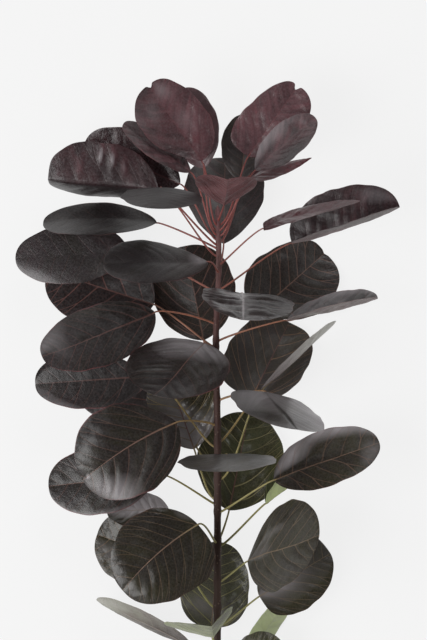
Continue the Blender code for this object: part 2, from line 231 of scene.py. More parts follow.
             age=0.4, bloomSheenShade=-0.35, spots=[(0.9, 0.7, 0.78, -0.8, 0.25, 0.5),
             (0.4, 0.5, 0.95, -0.1, 0.15, 0.7), (0.4, 0, 0.08, 0.2, 0.1, 0.5),
             (0.8, 0.7, 0.95, -0.03, 0.025, 0.09), (-0.8, -0.3, 0.97, 0.07, 0.015, 0.06),
             (-0.8, -0.6, 0.8, 0.9, 0.3, 0.4)], crumple=0.05),
    31: dict(join=214, base=(31, 219.2, 46), tip=(50.3, 196.4, 88), width=63, roll=56, fold=-4, lop=0.02,
             skew=0, widest=0.41, baseTaper=0.5, relief=0.15, show=0, midrib=0, age=0.4, bloomSheenShade=0.3,
             spots=[(-0.9, -0.5, 0.75, 0.04, 0.3, 0.05), (-0.4, 0, 0.4, 0.04, 0.5, 0.03),
             (0.5, 0, 0.1, 0.3, 0.25, 0.7), (-0.5, 0, 0.7, 0.6, 0.15, 0.4), (0.7, 0, 0.4, -1, 0.6, 0.4)],
             crumple=0.04, sway=0.5),
    32: dict(join=176, base=(6, 179.5, 44), tip=(6, 170.5, 104), width=62, roll=-1.2, fold=3.5, baseTaper=1,
             tipTaper=0.7, notch=1.8, relief=0.1, show=0, midrib=0.1, age=0.38, bloomSheenShade=0.1,
             spots=[(0.5, 0, 0.4, -0.95, 0.6, 0.12)], crumple=0.05, sway=0.3),
    33: dict(join=142, base=(36, 163, 44), tip=(103, 187, 50), width=43, roll=38, lop=-0.04, skew=0.01,
             widest=0.5, show=0.4, rim=0.4, age=0.36, bloomSheenShade=-0.2, spots=[(1.2, 1, 0.65, -1, 0.4, 0.3),
             (1.2, 0.6, 0.18, -0.6, 0.18, 0.35), (0.5, 0, 0.92, 0.4, 0.15, 0.9),
             (-0.6, -1.2, 0.4, -0.16, 0.25, 0.12)]),
    34: dict(join=124, base=(7.5, 142, 12), tip=(20.5, 204.6, 3), width=56.6, lop=0.03, widest=0.5,
             baseTaper=1.4, wave=0.15, relief=0.7, show=0.9, midrib=0.7, gloss=0.3, age=0.14, bloomSheenShade=0,
             flush=0.55),
    35: dict(join=147.3, base=(-38, 166.5, 36), tip=(-108.6, 158.2, 26), width=44.5, roll=-10, cup=-2, lop=0,
             curl=0, relief=0.12, rim=0.9, gloss=0.3, age=0.42, bloomSheenShade=-0.5,
             spots=[(0.8, 0.3, 0.5, -1, 0.6, 0.25), (0.5, 0, 0.9, 1, 0.12, 0.2)], sway=0.4, crumple=0.05),
    36: dict(join=118, base=(-31, 142, 22), tip=(-71, 143, 12), width=27, roll=-35, relief=0.7, age=0.28,
             bloomSheenShade=1, spots=[(4, 0, 0.3, 1, 0.5, 0.6), (-1.6, 0, 0.5, -0.9, 0.6, 0.5)]),
    37: dict(join=120, base=(31, 147, 22), tip=(70, 175, 18), width=34, roll=60, fold=70, age=0, bloomSheenShade=-0.25),
    38: dict(join=80, base=(-25, 108, 16), tip=(-78, 126, 4), width=48, lop=-0.03, skew=0.04, wave=0.2,
             relief=0.08, show=0.7, age=0.3, bloomSheenShade=-0.1, spots=[(-0.5, 0, 0.7, 0.9, 0.4, 0.3),
             (0.4, 0.4, 0.8, -0.4, 0.3, 0.3)], crumple=0.15),
    39: dict(join=122.5, base=(-12.4, 135, 50), tip=(-59.6, 93.9, 60), width=61, sweep=3, cup=-2, droop=6,
             lop=-0.07, skew=0.05, widest=0.44, baseTaper=1.05, relief=0.35, veins=8, show=0.35, midrib=0.9,
             gloss=0.3, age=0.31, bloomSheenShade=-0.5, spots=[(0.6, 0.8, 0.9, -0.15, 0.1, 0.5),
             (0.4, 0.3, 0.75, -0.8, 0.12, 0.3), (0.9, 0.5, 0.05, 0.8, 0.12, 0.6),
             (-0.3, 0, 0.3, 0.8, 0.2, 0.5)], crumple=0.09),
    40: dict(join=97, base=(19.3, 110, 26), tip=(64.3, 129, 68), width=65, roll=42, skew=0, baseTaper=1.6,
             relief=0.3, show=0.5, gloss=0.2, age=0.28, bloomSheenShade=-0.35, spots=[(0.6, 1, 0.15, -0.1, 0.3, 0.4),
             (0.45, 0.3, 0.4, -0.5, 0.25, 0.15)]),
    41: dict(join=68, base=(27, 87, 20), tip=(73, 114.2, 10), width=48, lop=-0.06, skew=-0.12, baseTaper=0.65,
             tipTaper=1.1, relief=0.35, show=0.5, age=0.27, bloomSheenShade=0.1, spots=[(0.8, 1, 0.25, 0, 0.3, 0.3),
             (-0.4, 0, 0.5, 0.9, 0.4, 0.2)]),
    42: dict(join=50, base=(-4, 66, 4), tip=(1, 121, 3), width=45, widest=0.43, baseTaper=0.95, wave=0.15,
             show=1.6, midrib=0.7, gloss=0.6, age=0.1, bloomSheenShade=0.15, spots=[(0.45, 0.9, 0.25, -0.3, 0.12, 0.5),
             (0.35, 0.7, 0.1, 0.6, 0.12, 0.5), (0.45, 0.5, 0.8, -0.1, 0.15, 0.2)], flush=0.3),
    43: dict(join=52, base=(-3, 61.3, 22), tip=(-4, 71, 62), width=52, roll=166, fold=31, cup=0, lop=0.2,
             baseTaper=0.8, tipTaper=0.6, age=0.02, bloomSheenShade=-0.8, spots=[(-1, 0, 0.75, -0.5, 0.2, 0.3)]),
    44: dict(join=44, base=(-15, 53.2, 14), tip=(-78, 85, 18), width=30, roll=-112, lop=-0.18, wave=0.1,
             age=0.3, bloomSheenShade=0.12, spots=[(-1.3, 0, 0.1, 0, 0.35, 2), (0.6, 0, 0.95, 0, 0.2, 1),
             (-0.6, 0, 0.5, 0.4, 0.3, 0.5)]),
    45: dict(join=34, base=(16, 43.3, 9), tip=(47.2, 86.6, 7), width=17.6, roll=150, age=0, bloomSheenShade=0.35),
    46: dict(join=30, base=(10, 42, 22), tip=(43, 55, 26), width=32, show=0.6, age=0.16, bloomSheenShade=-0.2,
             spots=[(0.5, 0.5, 0.5, -0.5, 0.2, 0.3)]),
}


def leafAxes(leaf):
    base, tip = np.array(leaf["base"], float), np.array(leaf["tip"], float)
    along = unit(tip - base)
    flatRight = unit(np.cross(along, upward))
    flatOut = np.cross(flatRight, along)
    roll = math.radians(leaf["roll"])
    right = math.cos(roll) * flatRight + math.sin(roll) * flatOut
    return base, np.linalg.norm(tip - base), along, right, np.cross(right, along)


# The middle line of a blade: from base to tip, bowed out of its face by bend and to its side by sweep
def ribLine(leaf, part):
    base, length, along, right, out = leafAxes(leaf)
    bow = (4.0 * part * (1.0 - part))[:, None]
    return base + along * length * part[:, None] + out * leaf["bend"] * bow + right * leaf["sweep"] * bow


# Distance to the nearest side vein, in vein spacings. Each vein forks where forkFrom says, in a share of the
# way to the margin, and its two arms then part by forkSpread spacings for each further share.
def veinDistance(count, edge, handed, seed):
    gap = count + blade["veinShift"] * handed
    nearest = np.round(gap)
    fork = blade["forkFrom"] + 0.14 * np.sin(2.4 * nearest + seed + 1.5 * handed)
    return abs(abs(gap - nearest) - blade["forkSpread"] * np.clip(edge - fork, 0.0, 1.0))


# Random shallow folds of a sheet: a sum of waves, each with its own direction, length and start,
# and the shorter a wave the lower it is
def crinkle(lengthwise, sideways, seed):
    draw = np.random.default_rng(int(10 * seed))
    rise = 0.0 * sideways
    for step in range(blade["folds"]):
        turn, start = draw.uniform(0.0, 2.0 * np.pi, 2)
        size = blade["foldShrink"] ** step
        run = (math.cos(turn) * lengthwise + math.sin(turn) * sideways) / (blade["foldLength"] * size)
        rise = rise + size * np.sin(2.0 * np.pi * run + start)
    return rise


# A blade as a closed sheet. Half its width at station t is width/2 * sin(pi t) to a power that falls from
# base to tip. The halves rise by fold and curve by cup, and the swellings between the veins, the waves of
# the margin, its curl and the drooping tip move the sheet along its own normal.
def bladeGrid(leaf, seed):
    base, length, along, right, out = leafAxes(leaf)
    station = np.linspace(0.006, 0.994, blade["stations"])[:, None]
    across = np.linspace(-1.0, 1.0, blade["across"])[None, :]
    handed = np.sign(across)
    widest = leaf["widest"] + leaf["skew"] * across
    part = (0.5 - 0.5 * np.cos(np.pi * station)) ** (np.log(widest) / math.log(0.5))
    taper = leaf["baseTaper"] + (leaf["tipTaper"] - leaf["baseTaper"]) * station
    half = 0.5 * leaf["width"] * np.sin(np.pi * station) ** taper
    half = half * (1.0 + leaf["lop"] * handed)
    half = half * (1.0 + 0.012 * np.sin(17.0 * part + seed + handed) + 0.008 * np.sin(31.0 * part + 2.0 * seed * handed))
    side = half * across
    edge = abs(across) + 0.0 * part
    notch = leaf["notch"] * np.exp(-((side / 1.5) ** 2)) * station**8
    reach = part - notch / length
    away = side / length
    veins = leaf["veins"] * (part - leaf["slope"] * abs(away) - blade["veinCurve"] * away**2)
    veins = veins + 0.28 * np.sin(6.0 * part + seed) + 0.22 * np.sin(9.0 * away + 1.3 * seed)
    body = np.sin(np.pi * station) ** 0.5
    middle = 1.0 - np.exp(-((side / blade["grooveWidth"]) ** 2))
    swelling = np.sin(np.pi * np.clip(veinDistance(veins, edge, handed, seed), 0.0, 0.5)) ** 0.7
    swelling = swelling * (1.0 + blade["uneven"] * np.sin(1.9 * veins + 2.0 * seed + 2.0 * handed)) - 0.6
    pillow = leaf["relief"] * swelling * body * (1.0 - edge**4) * (1.0 - np.exp(-((edge / 0.16) ** 2)))
    ripple = leaf["wave"] * edge**2.6 * np.sin(2.0 * np.pi * leaf["waves"] * part + seed + 1.3 * handed)
    slow = np.sin(4.3 * part + seed) * np.sin(5.0 * away + 0.7 * seed) + 0.4 * np.sin(9.0 * part + 8.0 * away + seed)
    slow = leaf["sway"] * slow * (1.0 - edge**3) + leaf["crumple"] * crinkle(part * length, side, seed)
    groove = blade["groove"] * leaf["midrib"] * (1.0 - middle)
    rise = pillow + (ripple * middle + slow - groove) * body
    rise = rise + leaf["curl"] * edge**6 * body + leaf["cup"] * edge**2 * body - leaf["droop"] * part**4
    # Painted light: the leaf's paleness and each spot's paint the skin paler, for its waxy bloom and as painted sheen,
    # and below 0 darker, as painted shade; each spot's height also lifts the sheet
    bloomSheenShade = leaf["bloomSheenShade"] + 0.0 * veins
    for pale, height, place, aside, reach1, reach2 in leaf["spots"]:
        spot = np.exp(-(((part - place) / reach1) ** 2) - ((across - aside) / reach2) ** 2)
        bloomSheenShade = bloomSheenShade + pale * spot
        rise = rise + height * spot * body
    fold = math.radians(leaf["fold"])
    lift = np.sqrt(across**2 + 0.006) - math.sqrt(0.006)
    rib = ribLine(leaf, np.ravel(reach)).reshape(*reach.shape, 3)
    face = out * math.cos(fold) - right * math.sin(fold) * handed[..., None]
    top = rib + right * (side * math.cos(fold))[..., None]
    top = top + out * (half * math.sin(fold) * lift + rise)[..., None]
    depth = blade["thickness"] * np.sqrt(1.0 - 0.97 * edge**8) * np.sin(np.pi * station) ** 0.4
    keel = blade["keel"] * np.exp(-((side / blade["keelWidth"]) ** 2)) * (1.0 - part) ** 0.7 * body
    top = top + face * (0.5 * depth)[..., None]
    under = top - face * (depth + keel)[..., None]
    same = 0.0 * veins
    values = {
        "leafVeins": veins, "leafEdge": edge, "leafAge": leaf["age"] + same, "leafPart": part + same,
        "leafSeed": seed + same, "leafShow": leaf["show"] + same, "leafRim": leaf["rim"] + same,
        "leafGloss": leaf["gloss"] + same, "leafMidrib": leaf["midrib"] + same, "leafBloomSheenShade": bloomSheenShade,
        "leafJoin": leaf["join"] / stem["length"] + same, "leafRib": leaf["age"] + leaf["flush"] + same,
    }
    return top, under, values, np.stack([part + same, 0.5 + away], axis=-1)


# A ring of quads for each step between rows, and a fan to a point at both ends
def ringFaces(rows, sides, start):
    row = np.arange(rows - 1)[:, None] * sides
    low = row + np.arange(sides)[None, :]
    after = row + (np.arange(sides) + 1)[None, :] % sides
    quads = np.stack([low, after, after + sides, low + sides], axis=-1).reshape(-1, 4) + start
    first, last = start + rows * sides, start + rows * sides + 1
    turn = np.arange(sides)
    foot = np.stack([np.full(sides, first), (turn + 1) % sides + start, turn + start], axis=-1)
    end = start + (rows - 1) * sides
    head = np.stack([turn + end, (turn + 1) % sides + end, np.full(sides, last)], axis=-1)
    return quads, foot, head


# A tube carried along a path: radius at each point, turned so that its first side stays on the guide
def tube(path, radius, guide, sides):
    direction = unit(np.gradient(path, axis=0))
    right = unit(guide - direction * (guide * direction).sum(axis=-1, keepdims=True))
    out = np.cross(right, direction)
    turn = np.linspace(np.pi, -np.pi, sides, endpoint=False)[None, :, None]
    ring = np.cos(turn) * right[:, None] + np.sin(turn) * out[:, None]
    return path[:, None] + ring * np.reshape(radius, (len(path), -1))[..., None]


def addMesh(name, points, faces, slots, values, mapped, materials):
    mesh = bpy.data.meshes.new(name)
    mesh.from_pydata((points + shift) * mm, [], faces)
    for material in materials:
        mesh.materials.append(material)
    mesh.polygons.foreach_set("material_index", slots)
    for key, value in values.items():
        mesh.attributes.new(key, "FLOAT", "POINT").data.foreach_set("value", value.astype(np.float32))
    corner = np.empty(len(mesh.loops), np.int32)
    mesh.loops.foreach_get("vertex_index", corner)
    mesh.uv_layers.new(name="surfaceMap").data.foreach_set("uv", mapped[corner].astype(np.float32).ravel())
    mesh.shade_smooth()
    mesh.set_sharp_from_angle(angle=math.radians(55))
    piece = bpy.data.objects.new(name, mesh)
    bpy.context.collection.objects.link(piece)
    return piece


# The stalk's route: a cubic from the stem's skin, leaning with the stem, into the blade's own direction
def stalkRoute(leaf):
    base, length, along, right, out = leafAxes(leaf)
    endDirection = unit(along * length + 4.0 * (out * leaf["bend"] + right * leaf["sweep"]))
    axis = stemDirection(leaf["join"])
    reach = base - stemCentre(leaf["join"])
    outward = unit(reach - axis * reach.dot(axis))
    start = stemCentre(leaf["join"]) + outward * (stemRadius(leaf["join"]) + stem["clearance"])
    pull = stalk["pull"] * np.linalg.norm(base - start)
    lean = unit(outward + stalk["lean"] * axis)
    part = np.linspace(0.0, 1.0, stalk["pathPoints"])[:, None]
    square, cube = part**2, part**3
    route = (
        start * (2 * cube - 3 * square + 1) + lean * pull * (cube - 2 * square + part)
        + base * (3 * square - 2 * cube) + endDirection * pull * (cube - square)
    )
    root = stemCentre(leaf["join"]) + outward * stemRadius(leaf["join"]) * stalk["sunk"]
    return np.vstack([root, route]), outward


def makeLeaf(number, leaf, materials):
    leaf = {**leafDefaults, **leaf}
    top, under, values, mapped = bladeGrid(leaf, 1.7 * number)
    rows, columns = top.shape[:2]
    ring = np.concatenate([top, under[:, -2:0:-1]], axis=1)
    sides = ring.shape[1]
    ends = np.stack([ring[0].mean(axis=0), ring[-1].mean(axis=0)])
    quads, foot, head = ringFaces(rows, sides, 0)
    inner = np.arange(sides) < columns - 1
    slots = [np.where(np.tile(inner, rows - 1), 0, 1), np.where(inner, 0, 1), np.where(inner, 0, 1)]

    def around(grid):
        wrapped = np.concatenate([grid, grid[:, -2:0:-1]], axis=1)
        middle = grid.shape[1] // 2
        return np.concatenate([wrapped.reshape(-1, *grid.shape[2:]), grid[:1, middle], grid[-1:, middle]])

    points = [ring.reshape(-1, 3), ends]
    bladeValues = {key: around(value) for key, value in values.items()}
    bladeMap = around(mapped)

    # The stalk runs on under the blade as its midrib
    route, outward = stalkRoute(leaf)
    right, out = leafAxes(leaf)[3:]
    share = np.linspace(0.0, 0.97, stalk["ribPoints"])[1:]
    radius = np.linspace(stalk["rootRadius"], stalk["radius"], len(route))
    away = np.linalg.norm(route - route[0], axis=1)
    radius = radius + stalk["swelling"] * np.exp(-((away / stalk["swellingLength"]) ** 2))
    ribRadius = stalk["radius"] + (stalk["tipRadius"] - stalk["radius"]) * share**0.55
    ribRadius, radius = (part * (1.0 - stalk["youthful"] * leaf["age"]) for part in (ribRadius, radius))
    proud = blade["ribSunk"] + (blade["ribRise"] - blade["ribSunk"]) * leaf["midrib"]
    rib = np.stack([np.interp(share, mapped[:, 0, 0], line) for line in top[:, columns // 2].T], axis=-1)
    rib = rib + out * (proud - ribRadius)[:, None]
    path = np.vstack([route[:-1], rib])
    radius = np.concatenate([radius[:-1], ribRadius])
    stem2blade = np.concatenate([np.linspace(0.0, 1.0, len(route) - 1), 1.0 + share])
    rings = tube(path, radius, right[None, :] + 0.0 * path, stalk["sides"])
    start = len(points[0]) + 2
    tubeQuads, tubeFoot, tubeHead = ringFaces(len(path), stalk["sides"], start)
    points += [rings.reshape(-1, 3), np.stack([path[0], path[-1] + 0.3 * leafAxes(leaf)[2]])]
    tubeSlots = [np.full(len(part), 2) for part in (tubeQuads, tubeFoot, tubeHead)]
    carried = np.concatenate([np.repeat(stem2blade, stalk["sides"]), [0.0, 2.0]])
    merged = {key: np.concatenate([value, value[0] + 0.0 * carried]) for key, value in bladeValues.items()}
    merged["leafPart"] = np.concatenate([bladeValues["leafPart"], carried])
    turn = np.tile(np.linspace(0.0, 1.0, stalk["sides"]), len(path))
    tubeMap = np.stack([carried, np.concatenate([turn, [0.5, 0.5]])], axis=-1)
    faces = np.vstack([quads, tubeQuads]).tolist() + np.vstack([foot, head, tubeFoot, tubeHead]).tolist()
    order = np.concatenate([slots[0], tubeSlots[0], slots[1], slots[2], tubeSlots[1], tubeSlots[2]])
    piece = addMesh(
        "leafBlade%02d" % number, np.vstack(points), faces, order.astype(np.int32), merged,
        np.vstack([bladeMap, tubeMap]), materials,
    )
    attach(piece, "root")
    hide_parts("leaf_%02d" % number)
    return piece


# The stem's skin: its radius swells round each joint, with faint ridges that run along it
def makeStem(material):
    height = np.linspace(0.0, stem["length"], stem["rings"])
    turn = np.linspace(0.0, 1.0, stem["sides"], endpoint=False)
    joins = np.array([leaf["join"] for leaf in leaves.values()], float)
    swell = np.exp(-(((height[:, None] - joins) / stem["swellingLength"]) ** 2)).max(axis=1)
    radius = stemRadius(height) + stem["swelling"] * swell * (stemRadius(height) / stem["cutRadius"])
    ridge = stem["ridgeDepth"] * np.sin(2 * np.pi * stem["ridges"] * turn[None, :] + height[:, None] / 37.0)
    budPart = np.linspace(0.0, 1.0, bud["rings"])[:-1]
    budShape = np.sin(np.pi * (0.27 + 0.73 * budPart)) ** 0.8 * bud["radius"] / math.sin(0.5 * np.pi) ** 0.8
    scales = bud["scaleDepth"] * np.sin(2 * np.pi * bud["scales"] * turn[None, :] + 4.0 * budPart[:, None])
    end, axis = stemCentre(stem["length"]), stemDirection(stem["length"])
    budPath = end + axis * (bud["gap"] + bud["length"] * budPart)[:, None]
    path = np.vstack([stemCentre(height), budPath])
    radii = np.vstack([radius[:, None] + ridge, budShape[:, None] + scales * budShape[:, None]])
    guide = np.tile(np.array([1.0, 0.0, 0.0]), (len(path), 1))
    rings = tube(path, radii, guide, stem["sides"])
    quads, foot, head = ringFaces(len(path), stem["sides"], 0)
    ends = np.stack([path[0], end + axis * (bud["gap"] + bud["length"])])
    points = np.vstack([rings.reshape(-1, 3), ends])
    along = np.concatenate([height, stem["length"] + bud["gap"] + bud["length"] * budPart])
    carried = np.concatenate([np.repeat(along, stem["sides"]), [0.0, along[-1]]]) / stem["length"]
    mapped = np.stack([carried, np.concatenate([np.tile(turn, len(path)), [0.5, 0.5]])], axis=-1)
    faces = quads.tolist() + np.vstack([foot, head]).tolist()
    piece = addMesh(
        "stemBark", points, faces, np.zeros(len(faces), np.int32), {"stemPart": carried}, mapped, [material]
    )
    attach(piece, "root")
    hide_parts("stem")


# Small helpers for node trees
def newNode(tree, kind, **settings):
    node = tree.nodes.new(kind)
    for key, value in settings.items():
        setattr(node, key, value)
    return node


def wire(tree, source, target):
    if isinstance(source, (int, float, tuple)):
        target.default_value = source
    else:
        tree.links.new(source, target)


def mathNode(tree, operation, *inputs):
    node = newNode(tree, "ShaderNodeMath", operation=operation)
    for socket, value in zip(node.inputs, inputs):
        wire(tree, value, socket)
    return node.outputs[0]


def mixColour(tree, factor, first, second):
    node = newNode(tree, "ShaderNodeMix", data_type="RGBA")
    wire(tree, factor, node.inputs["Factor"])
    wire(tree, first, node.inputs[6])
    wire(tree, second, node.inputs[7])
    return node.outputs[2]


def attribute(tree, name):
    return newNode(tree, "ShaderNodeAttribute", attribute_name=name).outputs["Fac"]


def rampValue(tree, value, low, high):
    node = newNode(tree, "ShaderNodeMapRange", interpolation_type="SMOOTHSTEP")
    wire(tree, value, node.inputs["Value"])
    node.inputs["From Min"].default_value = low
    node.inputs["From Max"].default_value = high
    return node.outputs["Result"]


def colourRamp(tree, value, stops):
    node = newNode(tree, "ShaderNodeValToRGB")
    wire(tree, value, node.inputs["Fac"])
    ramp = node.color_ramp
    for place, colour in stops[1:-1]:
        ramp.elements.new(place).color = (*colour, 1.0)
    ramp.elements[0].position, ramp.elements[0].color = stops[0][0], (*stops[0][1], 1.0)
    ramp.elements[-1].position, ramp.elements[-1].color = stops[-1][0], (*stops[-1][1], 1.0)
    return node.outputs["Color"]


def newGroup(name, inputs, outputs):
    group = bpy.data.node_groups.new(name, "ShaderNodeTree")
    for kind, label, value in inputs:
        socket = group.interface.new_socket(label, in_out="INPUT", socket_type=kind)
        if value is not None:
            socket.default_value = value
    for kind, label in outputs:
        group.interface.new_socket(label, in_out="OUTPUT", socket_type=kind)
    return group, newNode(group, "NodeGroupInput"), newNode(group, "NodeGroupOutput")


# The noise that this surface needs, on the blade's own map, different on each leaf by its seed
def leafNoise(tree, surface, seed, scale, detail):
    node = newNode(tree, "ShaderNodeTexNoise", noise_dimensions="4D")
    wire(tree, surface, node.inputs["Vector"])
    wire(tree, seed, node.inputs["W"])
    node.inputs["Scale"].default_value = scale
    node.inputs["Detail"].default_value = detail
    return node.outputs["Fac"]


# Veins of a blade, by the formula that gives the mesh its swellings: side veins where the count is whole,
# each forked near the margin, the midrib where the map's second part is a half, and a fine net between
def makeVeinGroup():
    group, given, result = newGroup(
        "leafVeinPattern",
        [
            ("NodeSocketVector", "Map", None), ("NodeSocketFloat", "Veins", None),
            ("NodeSocketFloat", "Edge", None), ("NodeSocketFloat", "Seed", None),
            ("NodeSocketFloat", "Width", 0.065), ("NodeSocketFloat", "Net Scale", 44.0),
        ],
        [("NodeSocketFloat", name) for name in ("Side Veins", "Middle", "Net", "Groove Shade", "Streak", "Height")],
    )
    spot = newNode(group, "ShaderNodeSeparateXYZ")
    wire(group, given.outputs["Map"], spot.inputs[0])
    side = mathNode(group, "SUBTRACT", spot.outputs["Y"], 0.5)
    handed = mathNode(group, "SIGN", side)
    gap = mathNode(group, "MULTIPLY_ADD", handed, blade["veinShift"], given.outputs["Veins"])
    nearest = mathNode(group, "ROUND", gap)
    turn = mathNode(group, "MULTIPLY_ADD", nearest, 2.4, given.outputs["Seed"])
    turn = mathNode(group, "SINE", mathNode(group, "MULTIPLY_ADD", handed, 1.5, turn))
    fork = mathNode(group, "MULTIPLY_ADD", turn, 0.14, blade["forkFrom"])
    past = mathNode(group, "MAXIMUM", mathNode(group, "SUBTRACT", given.outputs["Edge"], fork), 0.0)
    arm = mathNode(group, "MULTIPLY", past, blade["forkSpread"])
    away = mathNode(group, "ABSOLUTE", mathNode(group, "SUBTRACT", gap, nearest))
    away = mathNode(group, "ABSOLUTE", mathNode(group, "SUBTRACT", away, arm))
    thin = mathNode(group, "MULTIPLY_ADD", given.outputs["Edge"], -0.022, given.outputs["Width"])
    lines = mathNode(group, "SUBTRACT", 1.0, rampValue(group, mathNode(group, "DIVIDE", away, thin), 0.2, 1.0))
    own = mathNode(group, "SINE", mathNode(group, "MULTIPLY_ADD", turn, 5.0, mathNode(group, "MULTIPLY", nearest, 4.7)))
    lines = mathNode(group, "MULTIPLY", lines, mathNode(group, "MULTIPLY_ADD", own, 0.25, 0.75))
    # Painted shade mask: a band along each vein, darkened in the material as shade in the sunken groove
    grooveShadeMask = mathNode(group, "SUBTRACT", 1.0, rampValue(group, away, 0.0, 0.3))
    run = newNode(group, "ShaderNodeCombineXYZ")
    wire(group, mathNode(group, "MULTIPLY", given.outputs["Veins"], 1.9), run.inputs["X"])
    wire(group, mathNode(group, "MULTIPLY", given.outputs["Edge"], 0.9), run.inputs["Y"])
    wire(group, mathNode(group, "MULTIPLY_ADD", handed, 3.7, given.outputs["Seed"]), run.inputs["Z"])
    streak = newNode(group, "ShaderNodeTexNoise")
    wire(group, run.outputs[0], streak.inputs["Vector"])
    streak.inputs["Scale"].default_value = 1.0
    streak.inputs["Detail"].default_value = 3.0
    streak = rampValue(group, streak.outputs["Fac"], 0.3, 0.7)
    middleWidth = mathNode(group, "MULTIPLY_ADD", spot.outputs["X"], -0.009, 0.012)
    middleAway = mathNode(group, "DIVIDE", mathNode(group, "ABSOLUTE", side), middleWidth)
    middle = mathNode(group, "SUBTRACT", 1.0, rampValue(group, middleAway, 0.45, 1.0))
    cells = newNode(group, "ShaderNodeTexVoronoi", feature="DISTANCE_TO_EDGE", voronoi_dimensions="4D")
    wire(group, given.outputs["Map"], cells.inputs["Vector"])
    wire(group, given.outputs["Seed"], cells.inputs["W"])
    wire(group, given.outputs["Net Scale"], cells.inputs["Scale"])
    net = mathNode(group, "SUBTRACT", 1.0, rampValue(group, cells.outputs["Distance"], 0.02, 0.16))
    height = mathNode(group, "MULTIPLY_ADD", net, -0.35, mathNode(group, "MULTIPLY", lines, -0.7))
    for name, value in (("Side Veins", lines), ("Middle", middle), ("Net", net), ("Groove Shade", grooveShadeMask),
                        ("Streak", streak), ("Height", height)):
        wire(group, value, result.inputs[name])
    return group


def principled(name):
    material = bpy.data.materials.new(name)
    material.use_nodes = True
    return material, material.node_tree, material.node_tree.nodes["Principled BSDF"]


# Colours run from the oldest leaf, at 0, to the youngest, at 1. The pale colour is the waxy bloom and painted sheen,
# the near-black one is painted shade, and the darkening by the vein grooves is painted shade too
upperLook = {
    "blade": [(0.0, (0.046, 0.052, 0.022)), (0.2, (0.019, 0.018, 0.006)), (0.42, (0.009, 0.007, 0.005)),
              (0.55, (0.010, 0.006, 0.007)), (0.72, (0.025, 0.009, 0.011)), (0.86, (0.080, 0.031, 0.036)),
              (0.94, (0.092, 0.030, 0.036)), (1.0, (0.13, 0.030, 0.038))],
    "veins": [(0.0, (0.26, 0.27, 0.11)), (0.2, (0.19, 0.15, 0.08)), (0.45, (0.15, 0.068, 0.056)),
              (1.0, (0.17, 0.050, 0.058))],
    "edge": [(0.0, (0.20, 0.16, 0.10)), (0.4, (0.14, 0.042, 0.044)), (1.0, (0.20, 0.06, 0.065))],
    "bloomSheenShade": (0.27, 0.25, 0.26), "dark": (0.004, 0.003, 0.003), "veinGrooveShade": 0.28,
    "roughness": 0.33, "specular": 0.43, "sheen": 0.02, "bump": 0.17, "patch": 0.42, "veinShare": 1.0,
    "fleck": 0.02, "fleckYoung": 0.07,
}
underLook = {
    "blade": [(0.0, (0.42, 0.49, 0.21)), (0.2, (0.17, 0.17, 0.13)), (0.5, (0.12, 0.085, 0.085)),
              (0.8, (0.13, 0.055, 0.06)), (1.0, (0.13, 0.035, 0.042))],
    "veins": [(0.0, (0.36, 0.38, 0.26)), (0.4, (0.25, 0.16, 0.14)), (1.0, (0.24, 0.07, 0.075))],
    "edge": [(0.0, (0.34, 0.36, 0.25)), (0.4, (0.25, 0.13, 0.12)), (1.0, (0.22, 0.07, 0.075))],
    "bloomSheenShade": (0.42, 0.42, 0.38), "dark": (0.03, 0.02, 0.018), "veinGrooveShade": 0.08,
    "roughness": 0.6, "specular": 0.35, "sheen": 0.15, "bump": 0.5, "patch": 0.25, "veinShare": 0.5,
    "fleck": 0.06, "fleckYoung": 0.0,
}


